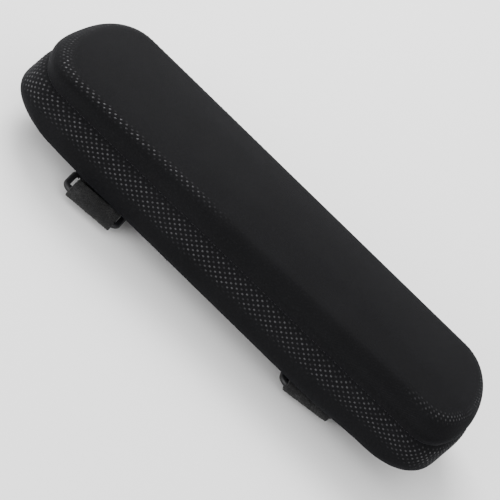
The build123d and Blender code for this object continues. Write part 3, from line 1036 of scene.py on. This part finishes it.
def band(name, line, width, thickness, at, material, slot, nap=0.0, seed=0):
    """A flat band of cloth along a (y, z) line, with rounded edges and a nap of small tufts."""
    slope = np.gradient(line, axis=0)
    slope /= np.linalg.norm(slope, axis=1, keepdims=True)
    normal = np.stack([-slope[:, 1], slope[:, 0]], axis=1)
    across = np.linspace(-width / 2, width / 2, round(width / STRAP_STEP) + 1)
    edge = thickness * EDGE_BULGE
    x = np.concatenate([across, [width / 2 + edge], across[::-1], [-width / 2 - edge]])
    upper = np.concatenate([np.ones(len(across)), [0], -np.ones(len(across)), [0]])
    rng = np.random.default_rng(RANDOM_SEED + seed)
    lift = thickness / 2 * upper + nap * rng.normal(size=(len(line), len(x))) * np.abs(upper)
    grid = np.zeros((len(line), len(x), 3))
    grid[..., 0] = x
    grid[..., 1] = line[:, :1] + normal[:, :1] * lift
    grid[..., 2] = line[:, 1:] + normal[:, 1:] * lift
    numbers = np.arange(grid[..., 0].size).reshape(grid.shape[:2])
    count = len(across)
    faces = list(grid_faces(numbers, closed=True))
    for row, turn in ((numbers[0], -1), (numbers[-1], 1)):
        top, bottom = row[:count], row[count + 1 : -1][::-1]
        ends = [[top[k], top[k + 1], bottom[k + 1], bottom[k]] for k in range(count - 1)]
        ends += [[top[-1], row[count], bottom[-1]], [bottom[0], row[-1], top[0]]]
        faces += [end[::turn] for end in ends]
    piece = mesh_piece(name, at.place(grid.reshape(-1, 3)), faces, material)
    step, column = np.divmod(corner_points(piece), len(x))
    set_corner_uv(piece, np.stack([x[column], step * STRAP_STEP], axis=1) / MM)
    return piece


def strap_band(name, line, at, seed):
    """A length of the strap's napped webbing."""
    look = (LOOP_WEBBING, "loop_webbing", STRAP_NAP)
    return band(name, line, WEB_WIDTH, WEB_THICKNESS, at, *look, seed)


def sew_box(name, at, low_y, high_y, z):
    """A sewn box with a cross in it, on the lower face of a band."""
    half = WEB_WIDTH / 2 - BOX_MARGIN
    corners = np.array([(-half, low_y), (half, low_y), (half, high_y), (-half, high_y)])
    middle = np.array([0, (low_y + high_y) / 2])
    rows = list(zip(corners, np.roll(corners, -1, axis=0)))
    rows += [[middle + share * (corner - middle) for share in CROSS_SPAN] for corner in corners]
    stitches = []
    for start, end in rows:
        count = max(1, round(np.linalg.norm(end - start) / BOX_STEP))
        for k in range(count):
            ends = [[*(start + (end - start) * (k + share) / count), z] for share in BOX_STITCH]
            stitches.append((*at.place(ends), (0, 0, -1)))
    return sew(name, stitches)


def hook_patch(name, at):
    """The hook half of the fastener: a plate set with rows of small hooks."""
    xs = np.arange(-HOOKS_HALF_WIDTH, HOOKS_HALF_WIDTH + 0.01 * MM, HOOK_STEP)
    ys = np.arange(HOOKS_START, at.tail_end - HOOKS_SHORT_OF_TAIL, HOOK_STEP)
    hooks = np.zeros((len(ys), len(xs)))
    hooks[1:-1:2, 1:-1:2] = 1
    hooks[2:-1:4, :] *= 0.6
    heights = HOOKS_LEVEL + HOOKS_HEIGHT * (0.45 + 0.5 * hooks)
    top = np.stack(np.broadcast_arrays(xs[None], ys[:, None], heights), -1)
    bottom = top.copy()
    bottom[..., 2] = HOOKS_LEVEL + 0.02 * MM
    size = top[..., 0].size
    numbers = np.arange(size).reshape(top.shape[:2])
    rim = np.concatenate([numbers[0, :-1], numbers[:-1, -1], numbers[-1, :0:-1], numbers[:0:-1, 0]])
    walls = grid_faces(np.stack([rim + size, rim]), closed=True)
    faces = np.concatenate([grid_faces(numbers), grid_faces(numbers)[:, ::-1] + size, walls])
    points = at.place(np.concatenate([top.reshape(-1, 3), bottom.reshape(-1, 3)]))
    piece = mesh_piece(f"{name}_hook_field", points, faces, HOOKS, f"{name}_tail_body")
    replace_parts(piece, f"{name}_hook_patch")


def build_strap(name, seed):
    """One strap with its tail and hooks, the tab that holds its ring, and their stitching."""
    at = StrapFrame(name)
    line = rounded_line([(at.root / MM, ROOT_LEVEL), *RUN_LINE], RUN_BEND)
    strap = strap_band(f"{name}_strap", line, at, seed)
    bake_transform(strap)
    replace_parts(strap, f"{name}_strap_web", f"{name}_strap_fold")
    line = rounded_line([*TAIL_LINE, (at.tail_end / MM, TAIL_LEVEL)], TAIL_BEND)
    tail = strap_band(f"{name}_tail", line, at, seed + 1)
    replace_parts(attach(tail, f"{name}_tail_body"), f"{name}_strap_tail")
    line = rounded_line(TAB_LINE, TAB_BEND)
    tab = band(f"{name}_tab", line, TAB_WIDTH, TAB_THICKNESS, at, TAB_WEBBING, "webbing")
    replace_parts(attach(tab, "pad"), f"{name}_ring_tab")
    hook_patch(name, at)
    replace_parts(sew_box(f"{name}_tab_thread", at, *TAB_BOX), f"{name}_tab_stitching")
    low_y, high_y, z = ROOT_BOX
    root_thread = sew_box(f"{name}_root_thread", at, at.root + low_y, at.root + high_y, z)
    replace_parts(root_thread, f"{name}_root_stitching")


# ---------------------------------------------------------------- the zip

COIL_PITCH = 1.5 * MM
COIL_WIRE = 0.33 * MM
COIL_POINTS = 14
COIL_SIDES = 6
TAPE_GAP = 0.3 * MM


class ZipFrame:
    """The zip's frame: x across the tape, y along the pad and z out of its side."""

    def __init__(self, middle_z, face_y):
        self.middle_z, self.face_y = middle_z, face_y

    def place(self, points):
        points = np.asarray(points, float)
        x, z = points[..., 1], self.middle_z + points[..., 0]
        return np.stack([x, self.face_y + points[..., 2], z], axis=-1)


def build_tape(side, node):
    low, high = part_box(node)
    at = ZipFrame((low.z + high.z) / 2, (low.y + high.y) / 2)
    line = rounded_line([(low.x / MM, 0), (high.x / MM, 0)], 0)
    width, thickness = high.z - low.z - TAPE_GAP, high.y - low.y
    piece = band(f"zip_{side}_tape", line, width, thickness, at, ZIP_TAPE, "zip_tape")
    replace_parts(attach(piece, "pad"), node)


def build_coil(side, node):
    """A row of teeth: one filament wound round and round along the tape's edge."""
    low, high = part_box(node)
    turns = int((high.x - low.x - 2 * COIL_WIRE) / COIL_PITCH)
    angle = np.linspace(0, 2 * math.pi * turns, turns * COIL_POINTS + 1)
    half_z = (high.z - low.z) / 2 - COIL_WIRE
    half_y = (high.y - low.y) / 2 - COIL_WIRE
    hand = 1 if side == "upper" else -1
    x = low.x + COIL_WIRE + angle / (2 * math.pi) * COIL_PITCH
    y = (low.y + high.y) / 2 + half_y * np.sin(angle)
    z = (low.z + high.z) / 2 + half_z * np.cos(angle) * hand
    line = np.stack([x, y, z], axis=1)
    slope = np.gradient(line, axis=0)
    slope /= np.linalg.norm(slope, axis=1, keepdims=True)
    first = np.cross(slope, [1, 0, 0])
    first /= np.linalg.norm(first, axis=1, keepdims=True)
    second = np.cross(slope, first)
    turn = np.linspace(0, 2 * math.pi, COIL_SIDES, endpoint=False)[None, :, None]
    tube = line[:, None] + COIL_WIRE * (np.cos(turn) * first[:, None] + np.sin(turn) * second[:, None])
    numbers = np.arange(tube[..., 0].size).reshape(tube.shape[:2])
    faces = [*grid_faces(numbers, closed=True), numbers[0, ::-1], numbers[-1]]
    piece = mesh_piece(f"zip_{side}_teeth", tube.reshape(-1, 3), faces, NYLON, "pad")
    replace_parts(piece, node)


def finish_cad_nodes():
    """Materials for the moulded and cast pieces, whose shapes come from the frame."""
    for name in STRAPS:
        frame["nodes"][f"{name}_ring"].material_slots[0].material = PLASTIC
    for name in ("zip_stop_front", "zip_stop_rear", "zip_slider", "zip_pull"):
        frame["nodes"][name].material_slots[0].material = METAL


# ---------------------------------------------------------------- camera, floor and light

LOOK_AT = Vector((0, 0, 20.8 * MM))
VIEW_AZIMUTH = math.radians(1.61)
VIEW_ELEVATION = math.radians(31.45)
VIEW_ROLL = math.radians(43.38)
VIEW_DISTANCE = 653 * MM
LENS = 102.1
SHIFT = (-0.0263, -0.0271)
FLOOR_GAP = 0.9 * MM
FLOOR_HALF = 3.0
WORLD_STRENGTH = 1.3


def make_camera():
    level = Vector((math.cos(VIEW_AZIMUTH), math.sin(VIEW_AZIMUTH), 0))
    ahead = Vector((-level.y, level.x, 0))
    back = math.sin(VIEW_ELEVATION) * Vector((0, 0, 1)) - math.cos(VIEW_ELEVATION) * ahead
    upright = back.cross(level)
    right = math.cos(VIEW_ROLL) * level + math.sin(VIEW_ROLL) * upright
    up = math.cos(VIEW_ROLL) * upright - math.sin(VIEW_ROLL) * level
    data = bpy.data.cameras.new("camera")
    data.lens = LENS
    data.shift_x, data.shift_y = SHIFT
    data.clip_start = 0.01
    camera = put_in_scene("camera", data)
    turn = Matrix((right, up, back)).transposed().to_4x4()
    camera.matrix_world = Matrix.Translation(LOOK_AT + VIEW_DISTANCE * back) @ turn
    bpy.context.scene.camera = camera


def area_light(name, place, size, power):
    """A soft light that faces the pad."""
    data = bpy.data.lights.new(name, "AREA")
    data.shape = "RECTANGLE"
    data.size, data.size_y = size
    data.energy = power
    light = put_in_scene(name, data)
    light.location = place
    light.rotation_mode = "QUATERNION"
    light.rotation_quaternion = (Vector(place) - LOOK_AT).to_track_quat("Z", "Y")


def make_studio():
    height, half = CAD_BOUNDS[0].z - FLOOR_GAP, FLOOR_HALF
    corners = [(-half, -half), (half, -half), (half, half), (-half, half)]
    floor = mesh_object("floor", [(x, y, height) for x, y in corners], [(0, 1, 2, 3)])
    s = Shader("floor")
    s.set(s.surface, Base_Color=(0.93, 0.93, 0.93), Roughness=0.9)
    floor.data.materials.append(s.material)
    world = bpy.data.worlds.new("studio")
    world.use_nodes = True
    colour, strength = world.node_tree.nodes["Background"].inputs[:2]
    colour.default_value = (1, 1, 1, 1)
    strength.default_value = WORLD_STRENGTH
    bpy.context.scene.world = world
    area_light("back_light", (-0.75, 0.75, 0.95), (1.0, 0.6), 34)
    area_light("side_light", (-0.5, -0.9, 0.25), (0.6, 0.4), 9)


make_camera()
make_studio()
SIDE, CROWN, TOP, BASE = [sculpt(grid) for grid in cover_shape()]
build_side(SIDE)
build_crown(CROWN, TOP)
build_base(BASE)
build_core(SIDE, CROWN, TOP, BASE)
build_seams(SIDE)
for number, strap_name in enumerate(STRAPS):
    build_strap(strap_name, 10 * number)
for zip_side in ("upper", "lower"):
    build_tape(zip_side, f"zip_tape_{zip_side}")
    build_coil(zip_side, f"zip_coil_{zip_side}")
finish_cad_nodes()
